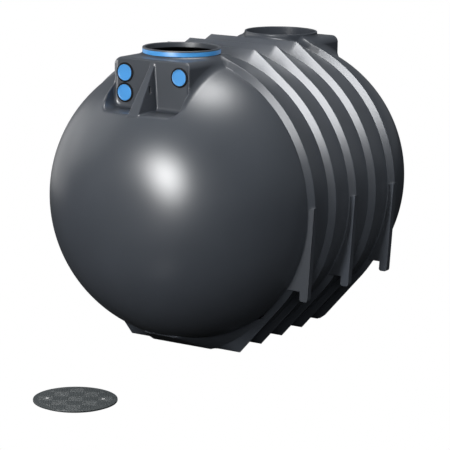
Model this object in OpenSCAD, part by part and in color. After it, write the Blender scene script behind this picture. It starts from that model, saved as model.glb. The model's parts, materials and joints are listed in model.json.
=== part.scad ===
/* [Barrel] */
// Distance from one hoop rib to the next
rib_pitch = 288; // [260:1:320]
// Radius of the barrel at the crests of the ribs
crest_r = 1053; // [1000:1:1110]
// Depth of the grooves between the ribs
rib_depth = 40; // [25:1:55]
// Length of the steep front slope of a rib
front_slope = 40; // [30:1:60]
// Width of the land on the crest of a rib
crest_land = 6; // [4:1:12]
// Wall thickness of the moulded shell
wall = 10; // [8:1:14]

/* [Ridges and base] */
// Half length of the straight ridge on top of the middle ribs
ridge_half = 366; // [300:1:420]
// How far the straight ridge lies below the top of the crest circle
ridge_drop = 4; // [0:1:12]
// Height of the crest circle above the ground
base_gap = 17; // [10:1:30]
// Half width of the flat under a rib
foot_half = 465; // [420:1:500]
// Half width of the flat between the ribs
keel_half = 247; // [200:1:280]

/* [Ends] */
// Depth of a domed end
dome_depth = 825; // [760:1:880]
// Fullness of the domed end along its depth
dome_power = 1.62; // [1.5:0.01:1.9]
// Fullness of the domed end across its radius
dome_round = 2.55; // [2.2:0.01:2.9]
// Length of the slope behind the last rib
tail_slope = 80; // [60:1:110]
// Length of the flat keel under a domed end
keel_len = 280; // [220:1:340]

/* [Shoulders] */
// Half width of a shoulder
shoulder_half = 310; // [300:1:330]
// How far the shoulder roofs lie below the crown of the ribs
shoulder_drop = 31; // [24:1:44]
// Distance from the open neck to the inlet panel
panel_gap = 94; // [80:1:120]
// Distance from the blind neck to the end wall of its shoulder
blind_gap = 68; // [50:1:90]
// Radius of the top corners of the front shoulder
shoulder_round = 50; // [30:1:55]
// Depth of the side walls of the shoulders below their roof
shoulder_depth = 327; // [310:1:330]
// Depth of the recess floor below the shoulder roof
recess_depth = 352; // [335:1:370]

/* [Necks] */
// Outer radius of the open neck
neck_r = 268; // [240:1:280]
// Distance from the first rib to the axis of the open neck
neck_offset = 83; // [75:1:100]
// Height of the rim of the open neck above its shoulder roof
neck_height = 55; // [45:1:80]
// Outer radius of the blind neck
blind_neck_r = 271; // [240:1:280]
// Distance from the last rib to the axis of the blind neck
blind_offset = 106; // [95:1:120]
// Height of the rim of the blind neck above its shoulder roof
blind_height = 44; // [35:1:70]
// Thickness of the neck walls
neck_wall = 14; // [10:1:20]
// How far a neck reaches below the shoulder roof
neck_skirt = 26; // [22:1:40]
// Thickness of the sealing ring round the open neck
ring_thick = 6; // [4:1:10]
// Height of the sealing ring
ring_height = 31; // [20:1:36]
// Height of the lip above the sealing ring
ring_lip = 10; // [6:1:14]

/* [Pipe connections] */
// Outer radius of the body of a pipe plug
plug_r = 55; // [50:0.5:57]
// How far the head of a pipe plug reaches past its body
plug_lap = 1; // [1:0.5:6]
// Thickness of the rubber sleeve round a pipe plug
seal_wall = 6.4; // [4:0.1:8]
// How far the flange of a rubber seal reaches past its hole in the panel
seal_lap = 7; // [4:0.5:9]
// Distance from the side of the shoulder to the pipe axes
pipe_inset = 86; // [83:1:110]
// Depth of the upper pipes below the shoulder roof
pipe_depth = 105; // [95:1:112]
// Space between the flanges of the upper and the lower seal
pipe_space = 1; // [1:1:8]

/* [Legs] */
// Distance from the tank axis down to the leg ends
leg_len = 618; // [580:1:650]
// Width of a leg at its end
leg_width = 63; // [50:1:80]
// Depth of a leg along the tank
leg_depth = 46; // [36:1:60]
// How far the front face of a leg stands before the crest of its rib
leg_front = 34; // [20:1:38]
// How far the legs lean in from the widest point to their end
leg_lean = 31; // [20:1:40]
// Distance from the tank axis down to the lower edge of the gusset behind a leg
gusset_len = 548; // [500:1:570]
// Thickness of the gusset behind a leg
gusset_depth = 30; // [20:1:36]

/* [Cover] */
// How far the loose cover reaches past the outside of the open neck
cover_lap = 7; // [4:1:20]
// Clearance of the spigot of the cover in the open neck
cover_clearance = 4; // [2:1:10]
// Height of the loose cover with its spigot
cover_height = 22; // [18:1:30]

/* [Hidden] */

tank_grey = "#4a4e55";
plug_blue = "#4a9be1";
rubber_black = "#141416";

rib_count = 5;
fine = 240;
arc_step = 3;
bump = 1;

// Stations along the tank
first_rib_y = -rib_pitch * (rib_count - 1) / 2;
last_rib_y = -first_rib_y;
front_end_y = first_rib_y - front_slope;
rear_end_y = last_rib_y + tail_slope;
front_neck_y = first_rib_y - neck_offset;
rear_neck_y = last_rib_y + blind_offset;
front_len = neck_offset + neck_r + panel_gap;
rear_len = blind_offset + blind_neck_r + blind_gap;
front_wall_y = first_rib_y - front_len;

// Heights above the ground
axis_z = crest_r + base_gap;
groove_r = crest_r - rib_depth;
shoulder_top = axis_z + crest_r - shoulder_drop;
shoulder_low = shoulder_top - shoulder_depth;
floor_z = shoulder_top - recess_depth;
leg_z = axis_z - leg_len;
gusset_z = axis_z - gusset_len;

// Web that parts the recess
web_foot_half = 42;
web_top_half = 17;
web_drop = 32;
web_top_z = shoulder_top - web_drop;
web_front_y = front_end_y - dome_reach(floor_z - axis_z);
web_slot_width = 26;
web_slot_len = 58;
web_slot_gap = 68;
web_slot_drop = 200;

// Pipe plugs and their seals
seal_gap = 0.3;
seal_flange = 6;
plug_head = 5;
plug_len = 50;
plug_wall = 4;
seal_hole_r = plug_r + seal_wall + 2 * seal_gap;
seal_r = seal_hole_r + seal_lap;
pipe_x = shoulder_half - pipe_inset;
pipe_z = shoulder_top - pipe_depth;
low_pipe_z = pipe_z - 2 * seal_r - pipe_space;

// Legs
leg_top = 46;
leg_fall = 18;
leg_step = 8;
leg_head = 59;
leg_round = 18;

// Loose cover
cover_r = neck_r + cover_lap;
cover_spigot_r = neck_r - neck_wall - cover_clearance;
cover_skirt = 12;
cover_x = 228;
cover_gap = 499;
cover_y = front_end_y - dome_depth - cover_gap - cover_r;
cover_turn = 32;
cover_hole_inset = 93;
cover_hole_r = 9;

// Angles are measured round the tank axis from straight down
ridge_h = crest_r - ridge_drop;
ridge_angle = atan(ridge_half / ridge_h);
ridge_tangent = ridge_angle + acos(crest_r / norm([ridge_half, ridge_h]));
foot_angle = atan(foot_half / axis_z);
foot_tangent = foot_angle + acos(crest_r / norm([foot_half, axis_z]));
keel_angle = atan(keel_half / axis_z);
belly_angle = foot_tangent - 3;
keel_end_angle = belly_angle - 6;
keel_lip = 4;

function split(a, b, step) = let (n = max(1, ceil((b - a) / step - 0.01)))
    [for (i = [1:n]) a + (b - a) * i / n];
half_angles = concat([0, keel_angle],
    split(keel_angle, foot_angle, arc_step),
    split(foot_angle, belly_angle, arc_step),
    split(belly_angle, foot_tangent, arc_step),
    split(foot_tangent, 180 - ridge_tangent, arc_step),
    split(180 - ridge_tangent, 180 - ridge_angle, arc_step),
    split(180 - ridge_angle, 180, arc_step));
half_count = len(half_angles);
ring_angles = concat(half_angles,
    [for (i = [half_count - 2:-1:1]) -half_angles[i]]);

// Outline of a crest: a circle with a straight foot and, with ridge, a straight top
function crest_at(a, ridge) = let (down = abs(a), up = 180 - abs(a))
    down < foot_angle ? axis_z / cos(down) :
    down < foot_tangent ? crest_r / cos(down - foot_tangent) :
    ridge && up < ridge_angle ? ridge_h / cos(up) :
    ridge && up < ridge_tangent ? crest_r / cos(up - ridge_tangent) :
    crest_r;

// Outline of a groove: a circle that runs out into the flat keel
keel_corner = axis_z / cos(keel_angle);
function groove_at(a) = let (down = abs(a))
    down < keel_angle ? axis_z / cos(down) :
    down < belly_angle ?
        groove_r + (keel_corner - groove_r) * (belly_angle - down) / (belly_angle - keel_angle) :
    groove_r;

function ring(y, inset, crest, ridge) = [for (a = ring_angles)
    let (r = (crest ? crest_at(a, ridge) : groove_at(a)) - inset)
    [r * sin(a), y, axis_z - r * cos(a)]];

// Closed skin through a list of rings, outer rings first and inner rings back
module skin(rings) {
    n = len(ring_angles);
    m = len(rings);
    polyhedron(
        points = [for (r = rings) each r],
        faces = [for (k = [0:m - 1], i = [0:n - 1])
            let (a = k * n + i, b = k * n + (i + 1) % n,
                 c = ((k + 1) % m) * n + (i + 1) % n, d = ((k + 1) % m) * n + i)
            each [[a, b, c], [a, c, d]]],
        convexity = 6);
}

module rib_bay(index, tail = rib_pitch - front_slope) {
    y = first_rib_y + (index - 1) * rib_pitch;
    ridge = index > 1 && index < rib_count;
    half_land = crest_land / 2;
    skin([
        ring(y - front_slope, 0, false, ridge),
        ring(y - half_land, 0, true, ridge),
        ring(y + half_land, 0, true, ridge),
        ring(y + tail, 0, false, ridge),
        ring(y + tail, wall, false, ridge),
        ring(y + half_land + wall / 2, wall, true, ridge),
        ring(y - half_land + wall / 2, wall, true, ridge),
        ring(y - front_slope, wall, false, ridge)]);
}

// Domed end as a body of revolution about the tank axis, from its rim at y = 0 to -Y
dome_steps = 20;
function dome_curve(r, depth) = [for (i = [0:dome_steps]) let (t = 90 * i / dome_steps)
    i == dome_steps ? [0, depth] :
    [r * pow(cos(t), 2 / dome_round), depth * pow(sin(t), 2 / dome_power)]];
function dome_radius(depth) =
    groove_r * pow(1 - pow(depth / dome_depth, dome_power), 1 / dome_round);
function dome_reach(r) =
    dome_depth * pow(1 - pow(r / groove_r, dome_round), 1 / dome_power);

module dome_body(inset = 0, over = 0) {
    r = groove_r - inset;
    translate([0, 0, axis_z]) rotate([90, 0, 0]) rotate_extrude($fn = fine)
        polygon(concat([[0, -over], [r, -over]], dome_curve(r, dome_depth - inset)));
}

module dome_shell() {
    difference() {
        dome_body();
        dome_body(wall, bump);
    }
}

// Keel that carries the flat base out under a domed end
module keel() {
    low = concat([for (a = half_angles) if (a < keel_end_angle) a], keel_end_angle);
    sweep_angles = concat([for (i = [len(low) - 1:-1:1]) -low[i]], low);
    tip_r = dome_radius(keel_len) + keel_lip;
    tip_half = keel_half / 2;
    difference() {
        hull() {
            rotate([90, 0, 0]) linear_extrude(bump)
                polygon([for (a = sweep_angles)
                    [groove_at(a) * sin(a), axis_z - groove_at(a) * cos(a)]]);
            translate([-tip_half, -keel_len, axis_z - tip_r])
                cube([2 * tip_half, bump, wall + keel_lip]);
        }
        dome_body();
    }
}

// Solid that a rib fills from its crest plane at y = 0, nose towards -Y
module rib_body(nose, tail) {
    translate([0, 0, axis_z]) rotate([90, 0, 0]) rotate_extrude($fn = fine)
        polygon([[0, nose], [groove_r, nose], [crest_r, crest_land / 2],
            [crest_r, -crest_land / 2], [groove_r, -tail], [0, -tail]]);
}

// Side leg with its gusset, for the +X side, measured from the crest plane at y = 0
module leg(tail) {
    end_x = crest_r - leg_lean;
    difference() {
        union() {
            leg_slab(leg_depth) difference() {
                polygon([[crest_r + leg_step, axis_z + leg_top], [end_x, leg_z],
                    [end_x - leg_width, leg_z], [crest_r - leg_head, axis_z + leg_top - leg_fall]]);
                leg_corner(end_x, -1);
                leg_corner(end_x - leg_width, 1);
            }
            leg_slab(gusset_depth) polygon([[crest_r - leg_head / 2, axis_z],
                [end_x - leg_width / 2, gusset_z], [groove_r / 2, gusset_z], [groove_r / 2, axis_z]]);
        }
        rib_body(front_slope, tail);
    }
}

module leg_slab(depth) {
    translate([0, depth - leg_front, 0]) rotate([90, 0, 0]) linear_extrude(depth) children();
}

// Round of a leg end, cut at the corner whose side lies at x
module leg_corner(x, side) {
    translate([x, leg_z]) difference() {
        translate([side > 0 ? -bump : -leg_round, -bump])
            square([leg_round + bump, leg_round + bump]);
        translate([side * leg_round, leg_round]) circle(r = leg_round, $fn = fine);
    }
}

// Slab of a shoulder's outline from y = 0 to -Y, with round top corners where asked for
module shoulder_slab(inset, low, depth, rounded) {
    half = shoulder_half - inset;
    top = shoulder_top - inset;
    r = shoulder_round - inset;
    if (rounded)
        rotate([90, 0, 0]) linear_extrude(depth) {
            translate([-half, low]) square([2 * half, top - r - low]);
            translate([r - half, low]) square([2 * (half - r), top - low]);
            for (side = [-1, 1]) translate([side * (half - r), top - r]) circle(r = r, $fn = fine);
        }
    else
        translate([-half, -depth, low]) cube([2 * half, depth, top - low]);
}

// Space inside a shoulder of a given length, measured from the crest plane of its rib
module shoulder_space(length, rounded) {
    translate([0, -wall, 0]) shoulder_slab(wall, shoulder_low, length - 2 * wall, rounded);
}

// Roof and side walls of a shoulder, open at the end wall
module shoulder_walls(length, hole_r, hole_offset, nose, rounded) {
    difference() {
        shoulder_slab(0, shoulder_low, length - wall, rounded);
        translate([0, -wall, 0]) shoulder_space(length, rounded);
        shoulder_space(length, rounded);
        translate([0, -nose, 0]) dome_body(0, bump);
        rib_body(nose, bump);
        translate([0, -hole_offset, shoulder_top / 2]) cylinder(r = hole_r, h = shoulder_top, $fn = fine);
    }
}

// Level at which the front dome ends and its brow round the recess begins
module above_recess_floor() {
    translate([-2 * crest_r, -2 * crest_r, floor_z - wall]) cube([4 * crest_r, 4 * crest_r, crest_r]);
}

// Everything on one side of the tank's middle plane
module half_space(side) {
    translate([side > 0 ? 0 : -2 * crest_r, -4 * crest_r, 0]) cube([2 * crest_r, 8 * crest_r, 3 * crest_r]);
}

module front_dome() {
    color(tank_grey) difference() {
        place_front() dome_shell();
        above_recess_floor();
    }
}

// Part of the domed end beside the recess and the shoulder, for one side
module front_brow(side) {
    color(tank_grey) difference() {
        intersection() {
            place_front() dome_shell();
            above_recess_floor();
            half_space(side);
        }
        place_front_rib() shoulder_space(front_len, true);
        recess_block();
        neck_hole(front_neck_y, neck_r);
    }
}

module rear_dome() {
    color(tank_grey) difference() {
        place_rear() dome_shell();
        place_rear_rib() shoulder_space(rear_len, false);
        neck_hole(rear_neck_y, blind_neck_r);
    }
}

module front_keel() {
    color(tank_grey) place_front() keel();
}

module rear_keel() {
    color(tank_grey) place_rear() keel();
}

module rib_bay_1() {
    color(tank_grey) difference() {
        rib_bay(1);
        place_front_rib() shoulder_space(front_len, true);
        neck_hole(front_neck_y, neck_r);
    }
}

module rib_bay_2() {
    color(tank_grey) rib_bay(2);
}

module rib_bay_3() {
    color(tank_grey) rib_bay(3);
}

module rib_bay_4() {
    color(tank_grey) difference() {
        rib_bay(4);
        neck_hole(rear_neck_y, blind_neck_r);
    }
}

module rib_bay_5() {
    color(tank_grey) difference() {
        rib_bay(5, tail_slope);
        place_rear_rib() shoulder_space(rear_len, false);
        neck_hole(rear_neck_y, blind_neck_r);
    }
}

module leg_at(rib, side) {
    tail = rib == rib_count ? tail_slope : rib_pitch - front_slope;
    color(tank_grey) translate([0, first_rib_y + (rib - 1) * rib_pitch, 0])
        mirror([side > 0 ? 0 : 1, 0, 0]) leg(tail);
}

module front_shoulder() {
    color(tank_grey) place_front_rib()
        shoulder_walls(front_len, neck_r, neck_offset, front_slope, true);
}

module rear_shoulder() {
    color(tank_grey) place_rear_rib() {
        shoulder_walls(rear_len, blind_neck_r, blind_offset, tail_slope, false);
        difference() {
            translate([0, wall - rear_len, 0]) shoulder_slab(0, shoulder_low, wall, false);
            translate([0, -tail_slope, 0]) dome_body(0, bump);
        }
    }
}

module inlet_panel() {
    color(tank_grey) difference() {
        translate([0, front_wall_y + wall, 0]) shoulder_slab(0, floor_z, wall, true);
        for (pipe = [[-pipe_x, pipe_z], [-pipe_x, low_pipe_z], [pipe_x, pipe_z]])
            translate([pipe[0], front_wall_y + wall + bump, pipe[1]]) rotate([90, 0, 0])
                cylinder(r = seal_hole_r, h = wall + 2 * bump, $fn = fine);
    }
}

// Space that the recess takes out of the domed end, with its own walls
module recess_block() {
    half = shoulder_half + wall;
    translate([-half, front_wall_y - dome_depth, floor_z - wall])
        cube([2 * half, dome_depth + wall, shoulder_top - floor_z + wall]);
}

module recess_floor() {
    color(tank_grey) intersection() {
        place_front() dome_body();
        translate([-shoulder_half - wall, front_wall_y - dome_depth, floor_z - wall])
            cube([2 * (shoulder_half + wall), dome_depth + wall, wall]);
    }
}

module recess_cheek(side) {
    color(tank_grey) intersection() {
        place_front() dome_body();
        translate([side > 0 ? shoulder_half : -shoulder_half - wall, front_wall_y - dome_depth, floor_z])
            cube([wall, dome_depth + wall, shoulder_top - floor_z]);
    }
}

// Upright slot with round ends, centred at the origin
module web_slot() {
    r = web_slot_width / 2;
    straight = web_slot_len - web_slot_width;
    square([web_slot_width, straight], center = true);
    for (side = [-1, 1]) translate([0, side * straight / 2]) circle(r = r, $fn = fine);
}

module recess_web() {
    reach = front_wall_y - web_front_y;
    color(tank_grey) intersection() {
        translate([0, front_wall_y, 0]) rotate([90, 0, 0]) linear_extrude(reach)
            polygon([[-web_foot_half, floor_z], [web_foot_half, floor_z],
                [web_top_half, web_top_z], [-web_top_half, web_top_z]]);
        translate([-web_foot_half, 0, 0]) rotate([90, 0, 90]) linear_extrude(2 * web_foot_half)
            difference() {
                polygon([[front_wall_y, floor_z], [web_front_y, floor_z], [front_wall_y, web_top_z]]);
                translate([front_wall_y - web_slot_gap, shoulder_top - web_slot_drop]) web_slot();
            }
    }
}

module neck(y, r, height, lip_r) {
    low = shoulder_top - neck_skirt;
    high = shoulder_top + height;
    color(tank_grey) translate([0, y, 0]) rotate_extrude($fn = fine)
        polygon([[r - neck_wall, low], [r, low], [r, high - ring_lip], [lip_r, high - ring_lip],
            [lip_r, high], [r - neck_wall, high]]);
}

module front_neck() {
    neck(front_neck_y, neck_r, neck_height, neck_r + ring_thick);
}

module rear_neck() {
    neck(rear_neck_y, blind_neck_r, blind_height, blind_neck_r);
}

module neck_seal_ring() {
    color(plug_blue)
        translate([0, front_neck_y, shoulder_top + neck_height - ring_lip - ring_height])
        difference() {
            cylinder(r = neck_r + ring_thick, h = ring_height, $fn = fine);
            translate([0, 0, -bump]) cylinder(r = neck_r, h = ring_height + 2 * bump, $fn = fine);
        }
}

module rear_neck_floor() {
    color(tank_grey) translate([0, rear_neck_y, shoulder_top - neck_skirt - wall])
        cylinder(r = blind_neck_r, h = wall, $fn = fine);
}

// Rubber seal with its sleeve through the panel and its flange on the panel's face
module pipe_seal(x, z) {
    color(rubber_black) translate([x, front_wall_y, z]) rotate([90, 0, 0]) rotate_extrude($fn = fine)
        polygon([[plug_r + seal_gap, -wall - seal_flange], [seal_hole_r - seal_gap, -wall - seal_flange],
            [seal_hole_r - seal_gap, 0], [seal_r, 0], [seal_r, seal_flange],
            [plug_r + seal_gap, seal_flange]]);
}

// Pipe plug: a head on the seal flange and a hollow body through the seal
module pipe_plug(x, z) {
    color(plug_blue) translate([x, front_wall_y, z]) rotate([90, 0, 0]) rotate_extrude($fn = fine)
        polygon([[0, seal_flange], [plug_r - plug_wall, seal_flange],
            [plug_r - plug_wall, seal_flange - plug_len], [plug_r, seal_flange - plug_len],
            [plug_r, seal_flange], [plug_r + plug_lap, seal_flange],
            [plug_r + plug_lap, seal_flange + plug_head], [0, seal_flange + plug_head]]);
}

module manhole_cover() {
    color(tank_grey) translate([cover_x, cover_y, 0]) rotate([0, 0, cover_turn]) difference() {
        rotate_extrude($fn = fine)
            polygon([[cover_spigot_r - cover_skirt, 0], [cover_spigot_r, 0],
                [cover_spigot_r, cover_height / 2], [cover_r, cover_height / 2],
                [cover_r, cover_height], [0, cover_height],
                [0, cover_height / 2], [cover_spigot_r - cover_skirt, cover_height / 2]]);
        for (side = [-1, 1]) translate([side * (cover_r - cover_hole_inset), 0, 0])
            cylinder(r = cover_hole_r, h = cover_height + bump, $fn = fine);
    }
}

module place_front() {
    translate([0, front_end_y, 0]) children();
}

module place_rear() {
    translate([0, rear_end_y, 0]) mirror([0, 1, 0]) children();
}

module place_front_rib() {
    translate([0, first_rib_y, 0]) children();
}

module place_rear_rib() {
    translate([0, last_rib_y, 0]) mirror([0, 1, 0]) children();
}

module neck_hole(y, r) {
    translate([0, y, axis_z]) cylinder(r = r, h = 2 * crest_r, $fn = fine);
}

front_dome();
front_brow(1);  // front_brow_right
front_brow(-1);  // front_brow_left
front_keel();
rib_bay_1();
rib_bay_2();
rib_bay_3();
rib_bay_4();
rib_bay_5();
rear_dome();
rear_keel();
leg_at(1, 1);  // leg_front_right
leg_at(1, -1);  // leg_front_left
leg_at(3, 1);  // leg_middle_right
leg_at(3, -1);  // leg_middle_left
leg_at(5, 1);  // leg_rear_right
leg_at(5, -1);  // leg_rear_left
front_shoulder();
inlet_panel();
recess_floor();
recess_cheek(1);  // recess_cheek_right
recess_cheek(-1);  // recess_cheek_left
recess_web();
front_neck();
neck_seal_ring();
rear_shoulder();
rear_neck();
rear_neck_floor();
pipe_seal(-pipe_x, pipe_z);  // pipe_seal_upper_left
pipe_seal(-pipe_x, low_pipe_z);  // pipe_seal_lower_left
pipe_seal(pipe_x, pipe_z);  // pipe_seal_right
pipe_plug(-pipe_x, pipe_z);  // pipe_plug_upper_left
pipe_plug(-pipe_x, low_pipe_z);  // pipe_plug_lower_left
pipe_plug(pipe_x, pipe_z);  // pipe_plug_right
manhole_cover();
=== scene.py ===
"""Underground water tank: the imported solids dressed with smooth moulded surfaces, materials and light."""
import json
import math

import bmesh
import bpy
import numpy as np
from mathutils import Matrix, Vector

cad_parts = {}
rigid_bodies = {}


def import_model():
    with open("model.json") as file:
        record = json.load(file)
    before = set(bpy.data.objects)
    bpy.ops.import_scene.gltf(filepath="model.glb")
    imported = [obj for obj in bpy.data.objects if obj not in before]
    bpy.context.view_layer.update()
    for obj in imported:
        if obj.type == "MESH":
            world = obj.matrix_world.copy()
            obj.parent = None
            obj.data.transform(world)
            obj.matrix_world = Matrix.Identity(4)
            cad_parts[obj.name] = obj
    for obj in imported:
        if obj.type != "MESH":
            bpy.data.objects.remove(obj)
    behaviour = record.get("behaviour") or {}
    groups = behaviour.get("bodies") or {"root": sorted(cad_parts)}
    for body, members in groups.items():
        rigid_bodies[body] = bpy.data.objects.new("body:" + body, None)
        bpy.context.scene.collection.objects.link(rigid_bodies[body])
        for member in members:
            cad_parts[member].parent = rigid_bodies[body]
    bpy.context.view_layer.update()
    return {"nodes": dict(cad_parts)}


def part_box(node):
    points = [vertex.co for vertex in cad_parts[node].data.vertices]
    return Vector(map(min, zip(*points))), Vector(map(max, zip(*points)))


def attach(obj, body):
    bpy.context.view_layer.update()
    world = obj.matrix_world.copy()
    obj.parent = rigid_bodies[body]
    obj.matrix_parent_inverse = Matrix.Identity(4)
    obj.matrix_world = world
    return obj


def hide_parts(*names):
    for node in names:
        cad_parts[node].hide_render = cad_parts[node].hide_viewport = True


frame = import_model()
nodes = frame["nodes"]

# Driving sizes of the barrel, in metres, as in the part's source
CREST_R = 1.053
GROOVE_R = 1.013
AXIS_Z = 1.070
RIB_PITCH = 0.288
RIB_COUNT = 5
FRONT_SLOPE = 0.040
TAIL_SLOPE = 0.080
RIDGE_HALF = 0.366
RIDGE_H = 1.049
FOOT_HALF = 0.465
KEEL_HALF = 0.247
DOME_DEPTH = 0.825
DOME_POWER = 1.62
DOME_ROUND = 2.55
WALL = 0.010

FIRST_RIB_Y = -RIB_PITCH * (RIB_COUNT - 1) / 2
RIB_YS = [FIRST_RIB_Y + RIB_PITCH * k for k in range(RIB_COUNT)]
FRONT_END_Y = RIB_YS[0] - FRONT_SLOPE
REAR_END_Y = RIB_YS[-1] + TAIL_SLOPE

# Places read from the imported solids
panel_low, panel_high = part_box("inlet_panel")
SHOULDER_HALF = panel_high.x
SHOULDER_TOP = panel_high.z
FLOOR_Z = panel_low.z
PANEL_Y = panel_low.y
neck_low, neck_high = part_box("front_neck")
ring_low, ring_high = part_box("neck_seal_ring")
NECK_Y = (neck_low.y + neck_high.y) / 2
NECK_R = 0.268
NECK_WALL = 0.014
THROAT_DEPTH = 0.034
blind_low, blind_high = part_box("rear_neck")
BLIND_Y = (blind_low.y + blind_high.y) / 2
BLIND_R = (blind_high.x - blind_low.x) / 2
REAR_WALL_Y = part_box("rear_shoulder")[1].y

# Roundings of the moulding
CREST_ROUND = 0.004
GROOVE_ROUND = 0.003

FOOT_ANGLE = math.atan2(FOOT_HALF, AXIS_Z)
FOOT_TANGENT = FOOT_ANGLE + math.acos(CREST_R / math.hypot(FOOT_HALF, AXIS_Z))
RIDGE_ANGLE = math.atan2(RIDGE_HALF, RIDGE_H)
RIDGE_TANGENT = RIDGE_ANGLE + math.acos(CREST_R / math.hypot(RIDGE_HALF, RIDGE_H))
KEEL_ANGLE = math.atan2(KEEL_HALF, AXIS_Z)
BELLY_ANGLE = FOOT_TANGENT - math.radians(3)


def soft_min(a, b, width):
    h = np.clip(0.5 + 0.5 * (b - a) / width, 0, 1)
    return b + (a - b) * h - width * h * (1 - h)


def soft_max(a, b, width):
    return -soft_min(-a, -b, width)


def round_union(a, b, radius):
    """Union of two distance fields with a round fillet between them."""
    return np.maximum(radius, np.minimum(a, b)) - np.hypot(
        np.maximum(radius - a, 0), np.maximum(radius - b, 0))


def round_cut(a, b, radius):
    """Field a without field b, with a round edge between them."""
    return -round_union(-a, b, radius)


def round_common(a, b, radius):
    """Common part of two distance fields, with a round edge between them."""
    return -round_union(-a, -b, radius)


def crest_outline(down, ridge):
    """Radius of a rib's crest at an angle from straight down."""
    r = np.where(down < FOOT_TANGENT, CREST_R / np.cos(down - FOOT_TANGENT), CREST_R)
    r = np.where(down < FOOT_ANGLE, AXIS_Z / np.cos(np.minimum(down, FOOT_ANGLE)), r)
    if ridge:
        up = math.pi - down
        r = np.where(up < RIDGE_TANGENT, CREST_R / np.cos(up - RIDGE_TANGENT), r)
        r = np.where(up < RIDGE_ANGLE, RIDGE_H / np.cos(np.minimum(up, RIDGE_ANGLE)), r)
    return r


def groove_outline(down):
    """Radius of a groove: a circle that runs out into the flat keel."""
    corner = AXIS_Z / math.cos(KEEL_ANGLE)
    share = np.clip((BELLY_ANGLE - down) / (BELLY_ANGLE - KEEL_ANGLE), 0, 1)
    r = GROOVE_R + (corner - GROOVE_R) * share
    return np.where(down < KEEL_ANGLE, AXIS_Z / np.cos(np.minimum(down, KEEL_ANGLE)), r)


def dome_radius(depth):
    """Radius of a domed end at a depth beyond its rim; before the rim it falls away."""
    inside = np.clip(1 - (np.clip(depth, 0, None) / DOME_DEPTH) ** DOME_POWER, 0, 1)
    return np.where(depth < 0, GROOVE_R + depth, GROOVE_R * inside ** (1 / DOME_ROUND))


def barrel_radius(y, down, ribs=range(RIB_COUNT)):
    """Outer radius of the barrel at a station y and an angle from straight down."""
    groove = groove_outline(down)
    radius = soft_max(dome_radius(FRONT_END_Y - y), dome_radius(y - REAR_END_Y), GROOVE_ROUND)
    for k in ribs:
        crest = crest_outline(down, 0 < k < RIB_COUNT - 1)
        tail = TAIL_SLOPE if k == RIB_COUNT - 1 else RIB_PITCH - FRONT_SLOPE
        rise = crest - groove
        front = crest + rise * (y - RIB_YS[k]) / FRONT_SLOPE
        behind = y - RIB_YS[k]
        rear = np.minimum(crest - rise * behind / tail, groove + tail - behind)
        radius = soft_max(radius, soft_min(front, rear, CREST_ROUND), GROOVE_ROUND)
    return radius


def barrel_field(x, y, z, ribs=range(RIB_COUNT)):
    """Rough distance from the barrel's outer surface, negative inside."""
    down = np.arctan2(np.abs(x), AXIS_Z - z)
    step = 0.0005
    radius = barrel_radius(y, down, ribs)
    slope = (barrel_radius(y + step, down, ribs) - radius) / step
    return (np.hypot(x, z - AXIS_Z) - radius) / np.sqrt(1 + slope ** 2)


def gradient(field, points, step=0.0006):
    """Unit outward normals of a field at points."""
    g = np.empty_like(points)
    for axis in range(3):
        move = np.zeros(3)
        move[axis] = step
        g[:, axis] = field(*(points + move).T) - field(*(points - move).T)
    return g / np.maximum(np.linalg.norm(g, axis=1, keepdims=True), 1e-9)


# Pull of a net point towards the middle of its cell's crossings
MIDDLE_HOLD = 0.03


def surface_net(field, low, high, step):
    """Quads on the zero surface of a field inside a block, by naive surface nets."""
    axes = [np.arange(a, b + step, step) for a, b in zip(low, high)]
    grid = np.stack(np.meshgrid(*axes, indexing="ij"), -1)
    value = field(grid[..., 0], grid[..., 1], grid[..., 2])
    inside = value < 0
    corners = [(i, j, k) for i in (0, 1) for j in (0, 1) for k in (0, 1)]
    n = np.array(inside.shape) - 1
    count = sum(inside[i:n[0] + i, j:n[1] + j, k:n[2] + k].astype(np.int8) for i, j, k in corners)
    cells = np.argwhere((count > 0) & (count < 8))
    ids = np.full(n, -1)
    ids[tuple(cells.T)] = np.arange(len(cells))

    total = np.zeros((len(cells), 3))
    hits = np.zeros(len(cells))
    squares = np.zeros((len(cells), 3, 3))
    sides = np.zeros((len(cells), 3))
    for a in corners:
        for b in corners:
            if sum(b) - sum(a) != 1 or any(q < p for p, q in zip(a, b)):
                continue
            pa, pb = tuple((cells + a).T), tuple((cells + b).T)
            va, vb = value[pa], value[pb]
            cross = (va < 0) != (vb < 0)
            t = (va[cross] / (va[cross] - vb[cross]))[:, None]
            at = grid[pa][cross] * (1 - t) + grid[pb][cross] * t
            normal = gradient(field, at)
            total[cross] += at
            hits += cross
            squares[cross] += normal[:, :, None] * normal[:, None, :]
            sides[cross] += normal * (normal * at).sum(1, keepdims=True)
    middle = total / hits[:, None]
    pulled = (sides + MIDDLE_HOLD * middle)[..., None]
    points = np.linalg.solve(squares + MIDDLE_HOLD * np.eye(3), pulled)[..., 0]
    corner = grid[tuple(cells.T)]
    points = np.clip(points, corner, corner + step)

    quads = []
    for axis in range(3):
        u, v = [k for k in range(3) if k != axis]
        ahead = np.roll(inside, -1, axis)
        change = inside != ahead
        edges = np.argwhere(change)
        ok = (edges[:, axis] < n[axis]) & (edges[:, u] > 0) & (edges[:, v] > 0)
        ok &= (edges[:, u] < n[u]) & (edges[:, v] < n[v])
        edges = edges[ok]
        around = []
        for du, dv in ((1, 1), (0, 1), (0, 0), (1, 0)):
            cell = edges.copy()
            cell[:, u] -= du
            cell[:, v] -= dv
            around.append(ids[tuple(cell.T)])
        quad = np.stack(around, 1)
        flip = inside[tuple(edges.T)] == (axis == 1)
        quad[flip] = quad[flip][:, ::-1]
        quads.append(quad)
    quads = np.concatenate(quads)
    quads = quads[(quads >= 0).all(1)]
    return points, quads.tolist()


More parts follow.
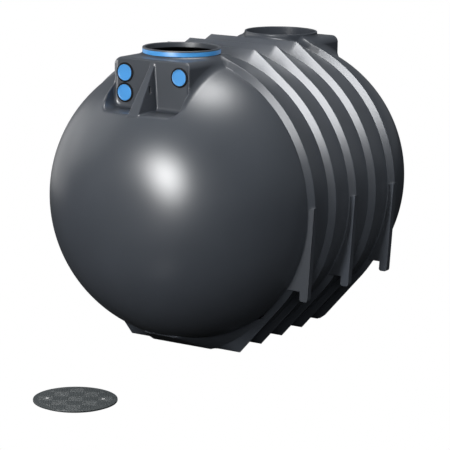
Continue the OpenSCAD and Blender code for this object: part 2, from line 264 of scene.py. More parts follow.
def grid_mesh(surface, rows, columns):
    """Points and quads of a surface(row, column) that closes round its columns."""
    r, c = np.meshgrid(rows, columns, indexing="ij")
    points = np.stack(surface(r, c), -1).reshape(-1, 3)
    m, n = len(rows), len(columns)
    quads = [(i * n + j, (i + 1) * n + j, (i + 1) * n + (j + 1) % n, i * n + (j + 1) % n)
             for i in range(m - 1) for j in range(n)]
    return points, quads


def to_bmesh(points, faces):
    bm = bmesh.new()
    verts = [bm.verts.new(p) for p in points]
    for face in faces:
        bm.faces.new([verts[i] for i in face])
    return bm


def from_bmesh(bm):
    bm.verts.index_update()
    points = np.array([v.co for v in bm.verts])
    faces = [[v.index for v in f.verts] for f in bm.faces]
    bm.free()
    return points, faces


CUT_REACH = 0.05


def cut_planes(bm, planes, keep_inside):
    """Cuts a mesh along planes (point, outward normal) and keeps one side of their common region."""
    for point, normal in planes:
        near = [f for f in bm.faces if all(
            (f.calc_center_median() - Vector(p)).dot(Vector(q)) < CUT_REACH for p, q in planes)]
        geom = set(near)
        for f in near:
            geom.update(f.verts)
            geom.update(f.edges)
        bmesh.ops.bisect_plane(bm, geom=list(geom), plane_co=point, plane_no=normal, dist=1e-6)
    drop = []
    for f in bm.faces:
        middle = f.calc_center_median()
        inside = all((middle - Vector(p)).dot(Vector(q)) < 0 for p, q in planes)
        if inside != keep_inside:
            drop.append(f)
    bmesh.ops.delete(bm, geom=drop, context="FACES")


def finish_mesh(name, points, faces, loop_normals=None):
    mesh = bpy.data.meshes.new(name)
    mesh.from_pydata(points.tolist(), [], faces)
    mesh.validate(clean_customdata=False)
    mesh.polygons.foreach_set("use_smooth", [True] * len(mesh.polygons))
    if loop_normals is not None:
        mesh.normals_split_custom_set(loop_normals)
    mesh.update()
    obj = bpy.data.objects.new(name, mesh)
    bpy.context.scene.collection.objects.link(obj)
    return obj


def shell(name, points, faces, normals, thickness=WALL):
    """Closed moulded wall: the outer skin, an inner skin offset inwards and the rims between."""
    count = len(points)
    edges = {}
    for face in faces:
        for a, b in zip(face, face[1:] + face[:1]):
            edges[(a, b)] = edges.get((a, b), 0) + 1
    rims = [(a, b) for (a, b) in edges if (b, a) not in edges]
    inner = points - normals * thickness
    all_points = np.concatenate([points, inner])
    back = [[i + count for i in reversed(face)] for face in faces]
    sides = [[b, a, a + count, b + count] for a, b in rims]
    loops = []
    for face in faces:
        loops.extend(normals[face])
    for face in back:
        loops.extend(-normals[np.array(face) - count])
    for side in sides:
        p = all_points[side]
        flat = np.cross(p[2] - p[0], p[3] - p[1])
        flat /= max(np.linalg.norm(flat), 1e-9)
        loops.extend([flat] * 4)
    return finish_mesh(name, all_points, faces + back + sides, np.array(loops).tolist())


def ring_angles(count=360):
    """Angles round the barrel from straight down, with the corners of the outlines among them."""
    special = [FOOT_ANGLE, FOOT_TANGENT, KEEL_ANGLE, math.pi - RIDGE_ANGLE, math.pi - RIDGE_TANGENT]
    angles = list(np.linspace(-math.pi, math.pi, count, endpoint=False))
    for s in special:
        for a in (s, -s):
            nearest = min(range(count), key=lambda i: abs(angles[i] - a))
            angles[nearest] = a
    return np.array(sorted(angles))


def on_barrel(y, angle):
    """Point of the barrel at a station y and an angle from straight down, to either side."""
    r = barrel_radius(y, np.abs(angle))
    return r * np.sin(angle), y, AXIS_Z - r * np.cos(angle)


# Blocks in which the shoulders, the recess and the neck roots are made as one moulded crown
CROWN_HALF = 0.40
CROWN_LOW_Z = 1.60
FRONT_CROWN_FRONT_Y = -1.37
FRONT_CROWN_BACK_Y = -0.345
FRONT_CROWN_TOP_Z = 2.125
REAR_CROWN_FRONT_Y = 0.365
REAR_CROWN_BACK_Y = 1.41
REAR_CROWN_TOP_Z = 2.15
CROWN_CELL = 0.006


def crown_planes(inner_y, side):
    """Both sides, the inner end and the underside of a crown's block, as (point, outward normal)."""
    return [((CROWN_HALF, 0, 0), (1, 0, 0)), ((-CROWN_HALF, 0, 0), (-1, 0, 0)),
            ((0, inner_y, 0), (0, side, 0)), ((0, 0, CROWN_LOW_Z), (0, 0, -1))]


FRONT_CROWN_PLANES = crown_planes(FRONT_CROWN_BACK_Y, 1)
REAR_CROWN_PLANES = crown_planes(REAR_CROWN_FRONT_Y, -1)


def rounded_rect(u, v, half_u, half_v, radius):
    """Distance from a rectangle with round corners, centred at the origin."""
    p = np.abs(u) - half_u + radius
    q = np.abs(v) - half_v + radius
    return np.hypot(np.maximum(p, 0), np.maximum(q, 0)) + np.minimum(np.maximum(p, q), 0) - radius


# Walls, roundings and fillets of the shoulders, the recess and its web
SHOULDER_FOOT_Z = 1.30
FRONT_BOX_REACH = 0.10
FRONT_BOX_OVERLAP = 0.03
REAR_BOX_OVERLAP = 0.01
RECESS_SKY_Z = 3.0
SHOULDER_CORNER = 0.050
SHOULDER_EDGE = 0.026
SHOULDER_FILLET = 0.040
NECK_FILLET = 0.034
RECESS_CORNER = 0.060
RECESS_EDGE = 0.030
RECESS_LIP = 0.013
WEB_TOP_HALF = 0.017
WEB_FOOT_HALF = 0.042
WEB_TOP_Z = SHOULDER_TOP - 0.032
WEB_ROUND = 0.008
WEB_FILLET = 0.011
WEB_ROOT = 0.010
SLOT_WIDTH = 0.026
SLOT_LEN = 0.058
SLOT_GAP = 0.068
SLOT_DROP = 0.200
STUB_PROUD = 0.0005


def shoulder_box(x, y, z, wall_y, rib_y):
    """Box of a shoulder from its end wall to its rib, with round edges."""
    outline = rounded_rect(x, z - (SHOULDER_TOP + SHOULDER_FOOT_Z) / 2, SHOULDER_HALF,
                           (SHOULDER_TOP - SHOULDER_FOOT_Z) / 2, SHOULDER_CORNER)
    middle = (wall_y + rib_y) / 2
    half = abs(wall_y - rib_y) / 2
    return round_common(outline, np.abs(y - middle) - half, SHOULDER_EDGE)


def web_field(x, y, z):
    """Wedge that parts the recess, its front edge sloping down to the floor."""
    foot_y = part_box("recess_web")[0].y
    run = foot_y - PANEL_Y
    drop = FLOOR_Z - WEB_TOP_Z
    length = math.hypot(run, drop)
    front = ((y - PANEL_Y) * drop - (z - WEB_TOP_Z) * run) / length
    share = (WEB_TOP_Z - z) / (WEB_TOP_Z - FLOOR_Z)
    sides = np.abs(x) - (WEB_TOP_HALF + (WEB_FOOT_HALF - WEB_TOP_HALF) * share)
    web = np.maximum(round_common(sides, front, WEB_ROUND), FLOOR_Z - WEB_ROOT - z)
    web = np.maximum(web, z - WEB_TOP_Z)
    straight = (SLOT_LEN - SLOT_WIDTH) / 2
    slot_z = z - (SHOULDER_TOP - SLOT_DROP)
    slot = np.hypot(y - (PANEL_Y - SLOT_GAP), slot_z - np.clip(slot_z, -straight, straight)) - SLOT_WIDTH / 2
    return np.maximum(web, -slot)


def front_crown_field(x, y, z):
    """Barrel, shoulder, recess, web and neck root at the front; the recess is open to the sky."""
    barrel = barrel_field(x, y, z, ribs=(0, 1))
    box = shoulder_box(x, y, z, PANEL_Y - FRONT_BOX_REACH, RIB_YS[0] + FRONT_BOX_OVERLAP)
    body = round_union(barrel, box, SHOULDER_FILLET)
    outline = rounded_rect(x, z - (FLOOR_Z + RECESS_SKY_Z) / 2, SHOULDER_HALF,
                           (RECESS_SKY_Z - FLOOR_Z) / 2, RECESS_CORNER)
    recess = round_common(outline, y - PANEL_Y, RECESS_EDGE)
    body = round_cut(body, recess, RECESS_LIP)
    body = round_union(body, web_field(x, y, z), WEB_FILLET)
    neck = np.hypot(x, y - NECK_Y) - NECK_R - STUB_PROUD
    return round_union(body, neck, NECK_FILLET)


def rear_crown_field(x, y, z):
    """Barrel, shoulder and neck root at the rear."""
    barrel = barrel_field(x, y, z, ribs=(3, 4))
    box = shoulder_box(x, y, z, REAR_WALL_Y, RIB_YS[-1] - REAR_BOX_OVERLAP)
    body = round_union(barrel, box, SHOULDER_FILLET)
    neck = np.hypot(x, y - BLIND_Y) - BLIND_R - STUB_PROUD
    return round_union(body, neck, NECK_FILLET)


def moulded_crown(name, field, low, high, planes, top_z):
    """Moulded wall of one crown, cut to its block and open at the top of the neck root."""
    margin = 2 * CROWN_CELL
    points, quads = surface_net(field, np.array(low) - margin, np.array(high) + margin, CROWN_CELL)
    bm = to_bmesh(points, quads)
    cut_planes(bm, planes + [((0, 0, top_z), (0, 0, 1))], True)
    points, faces = from_bmesh(bm)
    return shell(name, points, faces, gradient(field, points))


def barrel_piece(name, points, faces, planes=(), field=barrel_field):
    """Moulded wall of a bay or domed end, without the parts that a crown takes up."""
    bm = to_bmesh(points, faces)
    for group in planes:
        cut_planes(bm, group, False)
    points, faces = from_bmesh(bm)
    return shell(name, points, faces, gradient(field, points))


def bay_rows(k):
    """Stations of one bay, close together at the crest and in the grooves."""
    start = RIB_YS[k] - FRONT_SLOPE
    end = REAR_END_Y if k == RIB_COUNT - 1 else RIB_YS[k] + RIB_PITCH - FRONT_SLOPE
    near = [0.0, 0.001, 0.002, 0.004]
    crest = [-0.006, -0.004, -0.002, -0.001, 0.0, 0.001, 0.002, 0.004, 0.006]
    rows = [start + t for t in near] + [RIB_YS[k] + t for t in crest] + [end - t for t in reversed(near)]
    rows += list(np.linspace(RIB_YS[k] + 0.012, end - 0.006, 8)[1:-1])
    rows += list(np.linspace(start + 0.006, RIB_YS[k] - 0.012, 4)[1:-1])
    return np.array(sorted(rows))


def dome_field(x, y, z):
    """Negative inside a domed end, zero on its surface."""
    depth = np.where(y < 0, FRONT_END_Y - y, y - REAR_END_Y)
    depth = np.maximum(depth, 0) / DOME_DEPTH
    return depth ** DOME_POWER + (np.hypot(x, z - AXIS_Z) / GROOVE_R) ** DOME_ROUND - 1


PROFILE_STEPS = 4001
DOME_ROWS = 72
DOME_COLUMNS = 300


def dome_mesh(side):
    """Rows of a domed end, evenly spaced along its profile, with a small cap at the pole."""
    t = np.linspace(0, math.pi / 2, PROFILE_STEPS)
    r = GROOVE_R * np.cos(t) ** (2 / DOME_ROUND)
    d = DOME_DEPTH * np.sin(t) ** (2 / DOME_POWER)
    run = np.concatenate([[0], np.cumsum(np.hypot(np.diff(r), np.diff(d)))])
    pick = np.searchsorted(run, np.linspace(0, run[-1], DOME_ROWS)[:-1])
    end_y = FRONT_END_Y if side < 0 else REAR_END_Y
    angles = np.linspace(-math.pi, math.pi, DOME_COLUMNS, endpoint=False)
    if side > 0:
        angles = angles[::-1]

    def surface(row, angle):
        index = row.astype(int)
        return r[index] * np.sin(angle), end_y + side * d[index], AXIS_Z - r[index] * np.cos(angle)

    points, quads = grid_mesh(surface, pick[::-1], angles)
    pole = len(points)
    points = np.vstack([points, [0, end_y + side * DOME_DEPTH, AXIS_Z]])
    n = len(angles)
    caps = [(pole, j, (j + 1) % n) for j in range(n)]
    return points, quads + caps


def rounded(corners, steps=4):
    """Profile with each corner (r, h, rounding) turned into a short arc."""
    out = []
    n = len(corners)
    for i, (r, h, rounding) in enumerate(corners):
        here = np.array((r, h))
        if not rounding:
            out.append(here)
            continue
        ends = []
        for other in (corners[i - 1], corners[(i + 1) % n]):
            way = np.array(other[:2]) - here
            length = np.linalg.norm(way)
            ends.append(here + way / length * min(rounding, 0.48 * length))
        for t in np.linspace(0, 1, steps + 1):
            out.append((1 - t) ** 2 * ends[0] + 2 * t * (1 - t) * here + t * t * ends[1])
    return np.array(out)


def weighted_normals(points, faces, limit):
    """Normal of each face corner: the mean of the flat enough faces round its point, by area."""
    flat, area = [], []
    for face in faces:
        p = points[list(face)]
        n = sum(np.cross(p[i] - p[0], p[i + 1] - p[0]) for i in range(1, len(face) - 1))
        length = np.linalg.norm(n)
        flat.append(n / max(length, 1e-12))
        area.append(length)
    around = [[] for _ in points]
    for f, face in enumerate(faces):
        for v in face:
            around[v].append(f)
    least = math.cos(math.radians(limit))
    loops = []
    for f, face in enumerate(faces):
        for v in face:
            total = sum(flat[g] * area[g] for g in around[v] if flat[g] @ flat[f] > least)
            loops.append(total / max(np.linalg.norm(total), 1e-12))
    return loops


def lathe(name, corners, centre, facing=None, segments=128):
    """Body of revolution: h runs up from the centre, or out of the inlet panel with facing set."""
    profile = rounded(corners)
    axis = [i for i, (r, _) in enumerate(profile) if r < 1e-9]
    angles = np.linspace(0, 2 * math.pi, segments, endpoint=False)
    points, rows = [], []
    for r, h in profile:
        if r < 1e-9:
            rows.append([len(points)] * segments)
            points.append((0, 0, h))
            continue
        rows.append(list(range(len(points), len(points) + segments)))
        points.extend((r * math.cos(a), r * math.sin(a), h) for a in angles)
    faces = []
    n = len(rows)
    for i in range(n):
        low, high = rows[i], rows[(i + 1) % n]
        if i in axis and (i + 1) % n in axis:
            continue
        for j in range(segments):
            k = (j + 1) % segments
            quad = [low[j], low[k], high[k], high[j]]
            faces.append([v for m, v in enumerate(quad) if v not in quad[:m]])
    points = np.array(points)
    r, h = profile.T
    if np.sum(r * np.roll(h, -1) - np.roll(r, -1) * h) < 0:
        faces = [face[::-1] for face in faces]
    if facing:
        points = np.stack([points[:, 0], -points[:, 2], points[:, 1]], -1)
    points = points + np.array(centre)
    normals = [tuple(v) for v in weighted_normals(points, faces, 40)]
    return finish_mesh(name, points, faces, normals)


# Materials
def new_material(name, colour, roughness, specular=0.5):
    material = bpy.data.materials.new(name)
    material.use_nodes = True
    shader = material.node_tree.nodes["Principled BSDF"]
    shader.inputs["Base Color"].default_value = (*colour, 1)
    shader.inputs["Roughness"].default_value = roughness
    shader.inputs["Specular IOR Level"].default_value = specular
    return material


def noise_node(tree, scale, detail):
    place = tree.nodes.new("ShaderNodeTexCoord")
    noise = tree.nodes.new("ShaderNodeTexNoise")
    noise.inputs["Scale"].default_value = scale
    noise.inputs["Detail"].default_value = detail
    tree.links.new(place.outputs["Object"], noise.inputs["Vector"])
    return noise


def add_noise_colour(material, colour, share, scale):
    """Slight mottling of the colour, darker and lighter by a share."""
    tree = material.node_tree
    shader = tree.nodes["Principled BSDF"]
    noise = noise_node(tree, scale, 4)
    ramp = tree.nodes.new("ShaderNodeValToRGB")
    ramp.color_ramp.elements[0].position = 0.3
    ramp.color_ramp.elements[1].position = 0.7
    ramp.color_ramp.elements[0].color = (*[c * (1 - share) for c in colour], 1)
    ramp.color_ramp.elements[1].color = (*[c * (1 + share) for c in colour], 1)
    tree.links.new(noise.outputs["Fac"], ramp.inputs["Fac"])
    tree.links.new(ramp.outputs["Color"], shader.inputs["Base Color"])


def add_bump(material, scale, strength, distance):
    """Fine unevenness of a moulded surface."""
    tree = material.node_tree
    shader = tree.nodes["Principled BSDF"]
    noise = noise_node(tree, scale, 2)
    bump = tree.nodes.new("ShaderNodeBump")
    bump.inputs["Strength"].default_value = strength
    bump.inputs["Distance"].default_value = distance
    tree.links.new(noise.outputs["Fac"], bump.inputs["Height"])
    tree.links.new(bump.outputs["Normal"], shader.inputs["Normal"])


THROAT_BLACK = (0.001, 0.001, 0.001)
FADE_BELOW = 0.004
FADE_ABOVE = 0.002


def add_throat_shade(material, colour, height):
    """Colour that falls to black below a height inside the neck, where no light comes."""
    tree = material.node_tree
    shader = tree.nodes["Principled BSDF"]
    place = tree.nodes.new("ShaderNodeNewGeometry")
    split = tree.nodes.new("ShaderNodeSeparateXYZ")
    ramp = tree.nodes.new("ShaderNodeMapRange")
    ramp.inputs["From Min"].default_value = height - FADE_BELOW
    ramp.inputs["From Max"].default_value = height + FADE_ABOVE
    mix = tree.nodes.new("ShaderNodeMix")
    mix.data_type = "RGBA"
    mix.inputs["A"].default_value = (*THROAT_BLACK, 1)
    mix.inputs["B"].default_value = (*colour, 1)
    gloss = tree.nodes.new("ShaderNodeMath")
    gloss.operation = "MULTIPLY"
    gloss.inputs[1].default_value = 0.5
    tree.links.new(place.outputs["Position"], split.inputs["Vector"])
    tree.links.new(split.outputs["Z"], ramp.inputs["Value"])
    tree.links.new(ramp.outputs["Result"], mix.inputs["Factor"])
    tree.links.new(mix.outputs["Result"], shader.inputs["Base Color"])
    tree.links.new(ramp.outputs["Result"], gloss.inputs[0])
    tree.links.new(gloss.outputs["Value"], shader.inputs["Specular IOR Level"])


TANK_COLOUR = (0.054, 0.061, 0.073)
BLUE_COLOUR = (0.069, 0.330, 0.750)
RUBBER_COLOUR = (0.004, 0.004, 0.005)
COVER_COLOUR = (0.034, 0.041, 0.043)
HOLE_LIGHT_COLOUR = (0.75, 0.75, 0.74)

tank_grey = new_material("tank_grey", TANK_COLOUR, 0.34)
add_noise_colour(tank_grey, TANK_COLOUR, 0.05, 3.0)
add_bump(tank_grey, 60.0, 0.05, 0.002)
neck_grey = new_material("neck_grey", TANK_COLOUR, 0.38)
add_throat_shade(neck_grey, TANK_COLOUR, neck_high.z - THROAT_DEPTH)
plug_blue = new_material("plug_blue", BLUE_COLOUR, 0.35)
add_noise_colour(plug_blue, BLUE_COLOUR, 0.03, 8.0)
rubber_black = new_material("seal_black", RUBBER_COLOUR, 0.6, 0.1)
add_noise_colour(rubber_black, RUBBER_COLOUR, 0.1, 20.0)
cover_grey = new_material("cover_grey", COVER_COLOUR, 0.45)
add_noise_colour(cover_grey, COVER_COLOUR, 0.08, 12.0)
# Painted light: pale colour for the white seen through the cover's lifting holes
painted_hole_light = new_material("painted_hole_light", HOLE_LIGHT_COLOUR, 0.3)
add_noise_colour(painted_hole_light, HOLE_LIGHT_COLOUR, 0.03, 30.0)


def dress(obj, material, slot=None, *replaced):
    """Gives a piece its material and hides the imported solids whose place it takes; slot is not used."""
    obj.data.materials.append(material)
    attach(obj, "root")
    if replaced:
        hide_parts(*replaced)
    return obj


# Barrel: the bays, the domed ends and the two crowns
ANGLES = ring_angles()
FRONT_STUB_DROP = 0.001
REAR_STUB_DROP = 0.006
for k in range(RIB_COUNT):
    points, faces = grid_mesh(on_barrel, bay_rows(k), ANGLES)
    cuts = [g for g, ks in ((FRONT_CROWN_PLANES, (0,)), (REAR_CROWN_PLANES, (3, 4))) if k in ks]
    bay = barrel_piece(f"moulded_bay_{k + 1}", points, faces, cuts)
    dress(bay, tank_grey, "tank_grey", f"rib_bay_{k + 1}")

front_points, front_faces = dome_mesh(-1)
dress(barrel_piece("moulded_front_dome", front_points, front_faces, [FRONT_CROWN_PLANES], dome_field),
      tank_grey, "tank_grey", "front_dome", "front_brow_right", "front_brow_left")
rear_points, rear_faces = dome_mesh(1)
dress(barrel_piece("moulded_rear_dome", rear_points, rear_faces, [REAR_CROWN_PLANES], dome_field),
      tank_grey, "tank_grey", "rear_dome")

front_crown = moulded_crown(
    "moulded_front_crown", front_crown_field, (-CROWN_HALF, FRONT_CROWN_FRONT_Y, CROWN_LOW_Z),
    (CROWN_HALF, FRONT_CROWN_BACK_Y, FRONT_CROWN_TOP_Z), FRONT_CROWN_PLANES, ring_low.z - FRONT_STUB_DROP)
dress(front_crown, tank_grey, "tank_grey", "front_shoulder", "inlet_panel", "recess_floor",
      "recess_cheek_right", "recess_cheek_left", "recess_web")
rear_crown = moulded_crown(
    "moulded_rear_crown", rear_crown_field, (-CROWN_HALF, REAR_CROWN_FRONT_Y, CROWN_LOW_Z),
    (CROWN_HALF, REAR_CROWN_BACK_Y, REAR_CROWN_TOP_Z), REAR_CROWN_PLANES, blind_high.z - REAR_STUB_DROP)
dress(rear_crown, tank_grey, "tank_grey", "rear_shoulder")

# Necks and the sealing ring
RIM_ROUND = 0.006
SKIRT_Z = neck_low.z
LIP = 0.010
ring_r = (ring_high.x - ring_low.x) / 2
throat_r = NECK_R - NECK_WALL
front_neck = lathe("moulded_front_neck", [
    (throat_r, neck_high.z, RIM_ROUND), (throat_r, neck_high.z - THROAT_DEPTH, 0),
    (throat_r, SKIRT_Z, 0.002), (NECK_R, SKIRT_Z, 0.002),
    (NECK_R, neck_high.z - LIP, 0), (ring_r, neck_high.z - LIP, 0.001),
    (ring_r, neck_high.z, RIM_ROUND)], (0, NECK_Y, 0))
dress(front_neck, neck_grey, "tank_grey", "front_neck")
rear_neck = lathe("moulded_rear_neck", [
    (BLIND_R - NECK_WALL, blind_high.z, RIM_ROUND), (BLIND_R - NECK_WALL, blind_low.z, 0.002),
    (BLIND_R, blind_low.z, 0.002), (BLIND_R, blind_high.z, RIM_ROUND)], (0, BLIND_Y, 0))
dress(rear_neck, tank_grey, "tank_grey", "rear_neck")
neck_ring = lathe("moulded_neck_ring", [
    (NECK_R, ring_low.z, 0.001), (ring_r, ring_low.z, 0.004), (ring_r, ring_high.z, 0.003),
    (NECK_R, ring_high.z, 0.001)], (0, NECK_Y, 0))
dress(neck_ring, plug_blue, "seal_blue", "neck_seal_ring")

# Pipe seals and plugs on the inlet panel
SEAL_LAP = 0.003
SEAL_LIP = 0.001
SEAL_LIP_STEP = 0.002
SEAL_STEP = 0.008
SEAL_ROOT = 0.006
PLUG_RIM = 0.006
PLUG_DISH_RIM = 0.008
PLUG_DISH = 0.003
for place in ("upper_left", "lower_left", "right"):
    seal_low, seal_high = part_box(f"pipe_seal_{place}")
    plug_low, plug_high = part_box(f"pipe_plug_{place}")
    centre = ((seal_low.x + seal_high.x) / 2, 0, (seal_low.z + seal_high.z) / 2)
    seal_r = (seal_high.x - seal_low.x) / 2
    head_r = (plug_high.x - plug_low.x) / 2
    flange = -seal_low.y
    head = -plug_low.y
    seal = lathe(f"moulded_pipe_seal_{place}", [
        (head_r - SEAL_LAP, -PANEL_Y - SEAL_ROOT, 0), (seal_r - SEAL_STEP, -PANEL_Y - SEAL_ROOT, 0),
        (seal_r - SEAL_STEP, -PANEL_Y, 0), (seal_r, -PANEL_Y, 0.0005), (seal_r, flange, 0.004),
        (head_r + SEAL_LIP, flange, 0.002), (head_r - SEAL_LAP, flange - SEAL_LIP_STEP, 0)],
        centre, True)
    dress(seal, rubber_black, "seal_black", f"pipe_seal_{place}")
    plug = lathe(f"moulded_pipe_plug_{place}", [
        (0, flange, 0), (head_r, flange, 0), (head_r, head, 0.002), (head_r - PLUG_RIM, head, 0.0015),
        (head_r - PLUG_DISH_RIM, head - PLUG_DISH, 0.0015), (0, head - PLUG_DISH, 0)],
        centre, True)
    dress(plug, plug_blue, "plug_blue", f"pipe_plug_{place}")

# Loose cover with blocks of anti-slip bars, and pale discs in its two lifting holes: painted light standing
# for the white seen through the holes
cover_low, cover_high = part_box("manhole_cover")
COVER_R = (cover_high.x - cover_low.x) / 2
COVER_AT = (cover_low + cover_high) / 2
COVER_TURN = math.radians(32)
COVER_SKIRT = 0.012
COVER_SPIGOT_R = 0.250
BAR_HIGH = 0.0012
BLOCK = 0.098
BLOCK_REACH = 3
BARS = 6
BAR_PITCH = BLOCK / BARS
BAR_WIDE = 0.0118
BAR_TAPER = 0.0014
BAR_GAP = 0.002
BAR_SHORTEST = 0.012
BAR_ROOT = 0.001
BAR_DROP = 0.0002
PATTERN_R = 0.245
PATTERN_RIM = 0.012
PATTERN_FOOT = 0.009
HOLE_LIGHT_R = 0.011
LIFT_HOLE_AT = 0.182
HOLE_LIGHT_DIMPLE_R = 0.003
HOLE_LIGHT_DIMPLE = 0.0015
plate_z = cover_high.z - BAR_HIGH
cover = lathe("moulded_cover", [
    (0, cover_low.z, 0), (COVER_SPIGOT_R, cover_low.z, 0.002),
    (COVER_SPIGOT_R, cover_high.z - COVER_SKIRT, 0), (COVER_R, cover_high.z - COVER_SKIRT, 0.003),
    (COVER_R, cover_high.z, 0.004), (PATTERN_R + PATTERN_RIM, cover_high.z, 0.002),
    (PATTERN_R + PATTERN_FOOT, plate_z, 0.002), (0, plate_z, 0)], (COVER_AT.x, COVER_AT.y, 0))
dress(cover, cover_grey, "tank_grey", "manhole_cover")


def cover_bars():
    """Tapered bars in square blocks whose direction alternates, cut to a circle."""
    points = []
    faces = []
    half_bar = BLOCK / 2 - BAR_GAP
    for bi in range(-BLOCK_REACH, BLOCK_REACH + 1):
        for bj in range(-BLOCK_REACH, BLOCK_REACH + 1):
            across = (bi + bj) % 2 == 0
            start, line_start = (bi, bj) if across else (bj, bi)
            for k in range(BARS):
                line = line_start * BLOCK + (k + 0.5) * BAR_PITCH - BLOCK / 2
                room = PATTERN_R ** 2 - (abs(line) + BAR_WIDE / 2) ** 2
                if room <= 0:
                    continue
                a = max(start * BLOCK - half_bar, -math.sqrt(room))
                b = min(start * BLOCK + half_bar, math.sqrt(room))
                if b - a < BAR_SHORTEST:
                    continue
                base = len(points)
                for z, cut in ((plate_z - BAR_ROOT, 0), (cover_high.z - BAR_DROP, BAR_TAPER)):
                    for p, q in ((a + cut, -1), (b - cut, -1), (b - cut, 1), (a + cut, 1)):
                        w = line + q * (BAR_WIDE / 2 - cut)
                        points.append((p, w, z) if across else (w, p, z))
                ring = (0, 1, 2, 3) if across else (3, 2, 1, 0)
                faces.append([base + i for i in reversed(ring)])
                faces.append([base + 4 + i for i in ring])
                for i in range(4):
                    m, n = ring[i], ring[(i + 1) % 4]
                    faces.append([base + m, base + n, base + 4 + n, base + 4 + m])
    points = np.array(points)
    c = math.cos(COVER_TURN)
    s = math.sin(COVER_TURN)
    turned = np.stack([COVER_AT.x + points[:, 0] * c - points[:, 1] * s,
                       COVER_AT.y + points[:, 0] * s + points[:, 1] * c, points[:, 2]], -1)
    normals = [tuple(v) for v in weighted_normals(turned, faces, 20)]
    return finish_mesh("cover_bars", turned, faces, normals)


dress(cover_bars(), cover_grey, "tank_grey")
# Painted light: a pale disc in each lifting hole stands in for the white seen through it
for name, side in (("cover_screw_right", 1), ("cover_screw_left", -1)):
    at = (COVER_AT.x + side * LIFT_HOLE_AT * math.cos(COVER_TURN),
          COVER_AT.y + side * LIFT_HOLE_AT * math.sin(COVER_TURN), 0)
    hole_light = lathe(name, [
        (0, plate_z - BAR_ROOT, 0), (HOLE_LIGHT_R, plate_z - BAR_ROOT, 0), (HOLE_LIGHT_R, cover_high.z, 0.002),
        (HOLE_LIGHT_DIMPLE_R, cover_high.z, 0.0005), (HOLE_LIGHT_DIMPLE_R, cover_high.z - HOLE_LIGHT_DIMPLE, 0),
        (0, cover_high.z - HOLE_LIGHT_DIMPLE, 0)], at, segments=32)
    dress(hole_light, painted_hole_light)

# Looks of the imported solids, and round edges on the legs
LEG_ROUND = 0.007
for name, obj in nodes.items():
    obj.data.materials.clear()
    if name.startswith("leg"):
        bevel = obj.modifiers.new("edge", "BEVEL")
        bevel.width = LEG_ROUND
        bevel.segments = 3
        bevel.limit_method = "ANGLE"
        bevel.angle_limit = math.radians(40)
        bevel.harden_normals = True
    if name.startswith("pipe_plug") or name == "neck_seal_ring":
        obj.data.materials.append(plug_blue)
    elif name.startswith("pipe_seal"):
        obj.data.materials.append(rubber_black)
    else:
        obj.data.materials.append(tank_grey)

# Camera at the photograph's viewing angle
CAMERA_AT = Vector((8.130, -12.960, 3.998))
CAMERA_TURN = 0.5624
CAMERA_DIP = 0.2082
CAMERA_ROLL = 0.0146
CAMERA_LENS = 170.46

forward = Vector((-math.sin(CAMERA_TURN) * math.cos(CAMERA_DIP),
                  math.cos(CAMERA_TURN) * math.cos(CAMERA_DIP), -math.sin(CAMERA_DIP)))
level = Vector((math.cos(CAMERA_TURN), math.sin(CAMERA_TURN), 0))
upright = level.cross(forward)
right = level * math.cos(CAMERA_ROLL) + upright * math.sin(CAMERA_ROLL)
up = -level * math.sin(CAMERA_ROLL) + upright * math.cos(CAMERA_ROLL)
camera_data = bpy.data.cameras.new("camera")
camera_data.lens = CAMERA_LENS
camera_data.sensor_width = 36
camera = bpy.data.objects.new("camera", camera_data)
camera.matrix_world = Matrix((
    (right.x, up.x, -forward.x, CAMERA_AT.x),
    (right.y, up.y, -forward.y, CAMERA_AT.y),
    (right.z, up.z, -forward.z, CAMERA_AT.z),
    (0, 0, 0, 1)))
bpy.context.scene.collection.objects.link(camera)
bpy.context.scene.camera = camera

# Lamps
TANK_MIDDLE = (0, -0.6, 1.2)
FRONT_LAMP_AT = (0.38, -7.15, 3.20)
DOME_GLINT = (0.35, -1.37, 1.38)
TOP_LAMP_AT = (0.50, 0.28, 7.75)
ROOF_GLINT = (0.415, -0.92, 1.90)
RIB_TOPS = (0.5, 0, 1.8)


def disk_light(name, at, target, size, power):
    data = bpy.data.lights.new(name, "AREA")
    data.shape = "DISK"
    data.size = size
    data.energy = power
    obj = bpy.data.objects.new(name, data)
    obj.location = at
    obj.rotation_euler = (Vector(target) - Vector(at)).to_track_quat("-Z", "Y").to_euler()
    bpy.context.scene.collection.objects.link(obj)
    return obj


disk_light("front_lamp", FRONT_LAMP_AT, DOME_GLINT, 2.5, 285)
front_gloss = disk_light("front_gloss", FRONT_LAMP_AT, DOME_GLINT, 2.5, 835)
front_gloss.visible_diffuse = False
disk_light("top_lamp", TOP_LAMP_AT, ROOF_GLINT, 2.8, 240)
top_gloss = disk_light("top_gloss", TOP_LAMP_AT, ROOF_GLINT, 2.8, 380)
top_gloss.visible_diffuse = False
disk_light("left_lamp", (-8.0, 0.6, 1.4), TANK_MIDDLE, 6.4, 105)
low_left_lamp = disk_light("low_left_lamp", (-5.5, -5.5, 1.0), (0, -0.6, 1.0), 1.8, 60)
low_left_lamp.visible_glossy = False
disk_light("left_high_lamp", (-7.0, -2.5, 5.0), TANK_MIDDLE, 6.5, 130)
right_lamp = disk_light("right_lamp", (5.5, 1.0, 7.5), (0, 0, 1.4), 5.0, 100)
right_lamp.visible_glossy = False
fill_lamp = disk_light("fill_lamp", (6.5, -7.5, 4.2), TANK_MIDDLE, 4.0, 160)
fill_lamp.visible_glossy = False


def collected(name, objects):
    group = bpy.data.collections.new(name)
    for obj in objects:
        group.objects.link(obj)
    return group


def linked_light(name, at, size, power, receivers, diffuse=False):
    """Lamp that only some pieces receive; without diffuse it only shows as gloss."""
    lamp = disk_light(name, at, RIB_TOPS, size, power)
    lamp.visible_diffuse = diffuse
    lamp.light_linking.receiver_collection = collected(name, receivers)
    return lamp


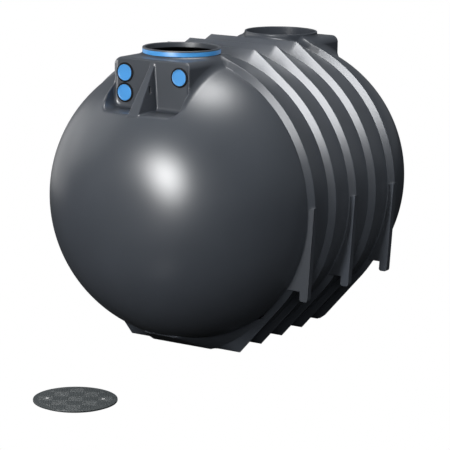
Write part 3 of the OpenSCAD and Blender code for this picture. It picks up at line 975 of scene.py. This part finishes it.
bays = [bpy.data.objects[f"moulded_bay_{k + 1}"] for k in range(RIB_COUNT)]
front_pieces = [obj for obj in bpy.data.objects if obj.type == "MESH" and obj not in bays
                and not obj.name.startswith("moulded_rear")]
front_gloss.light_linking.receiver_collection = collected("front_gloss", front_pieces)
top_gloss.light_linking.receiver_collection = collected("top_gloss", front_pieces)
legs = [nodes[f"leg_{row}_{side}"] for row in ("middle", "rear", "front") for side in ("right", "left")]
linked_light("rib_lamp", (3.2, -3.1, 6.2), 6.4, 1750, bays[1:] + legs)
linked_light("ridge_lamp", (0.3, -5.6, 4.3), 3.6, 600, bays[1:4])
linked_light("first_rib_lamp", (3.8, -3.5, 5.9), 4.5, 620, bays[:1])
linked_light("slope_lamp", (4.0, -7.5, 4.6), 1.5, 180, bays[1:], True)
leg_lamp = linked_light("leg_lamp", (1.35, -8.0, 3.2), 0.8, 560, legs[:4], True)
leg_lamp.visible_glossy = False
leg_lamp.light_linking.blocker_collection = collected("leg_lamp_blockers", bays)

def split_by_camera(tree, seen, unseen, output):
    """One shader for what the camera sees directly, another for the light on the part."""
    path = tree.nodes.new("ShaderNodeLightPath")
    mix = tree.nodes.new("ShaderNodeMixShader")
    out = tree.nodes.new(output)
    tree.links.new(path.outputs["Is Camera Ray"], mix.inputs["Fac"])
    tree.links.new(unseen.outputs[0], mix.inputs[1])
    tree.links.new(seen.outputs[0], mix.inputs[2])
    tree.links.new(mix.outputs["Shader"], out.inputs["Surface"])


# World: white to the camera, soft grey to the object
SKY_COLOUR = (0.9, 0.95, 1.0)
SKY_STRENGTH = 0.18
world = bpy.data.worlds.new("world")
bpy.context.scene.world = world
world.use_nodes = True
tree = world.node_tree
tree.nodes.clear()
sky = tree.nodes.new("ShaderNodeBackground")
sky.inputs["Color"].default_value = (*SKY_COLOUR, 1)
sky.inputs["Strength"].default_value = SKY_STRENGTH
white = tree.nodes.new("ShaderNodeBackground")
white.inputs["Strength"].default_value = 1.0
split_by_camera(tree, white, sky, "ShaderNodeOutputWorld")

# Floor: white to the camera, nearly black to the object
FLOOR_SIZE = 60
FLOOR_DROP = 0.001
FLOOR_COLOUR = (0.02, 0.02, 0.02)
bm = bmesh.new()
bmesh.ops.create_grid(bm, x_segments=1, y_segments=1, size=FLOOR_SIZE)
floor_mesh = bpy.data.meshes.new("floor")
bm.to_mesh(floor_mesh)
bm.free()
floor = bpy.data.objects.new("floor", floor_mesh)
floor.location.z = -FLOOR_DROP
bpy.context.scene.collection.objects.link(floor)
pale = bpy.data.materials.new("pale_floor")
pale.use_nodes = True
tree = pale.node_tree
tree.nodes.clear()
dull = tree.nodes.new("ShaderNodeBsdfDiffuse")
dull.inputs["Color"].default_value = (*FLOOR_COLOUR, 1)
glow = tree.nodes.new("ShaderNodeEmission")
glow.inputs["Strength"].default_value = 1.0
split_by_camera(tree, glow, dull, "ShaderNodeOutputMaterial")
floor_mesh.materials.append(pale)

bpy.context.scene.view_settings.view_transform = "Standard"
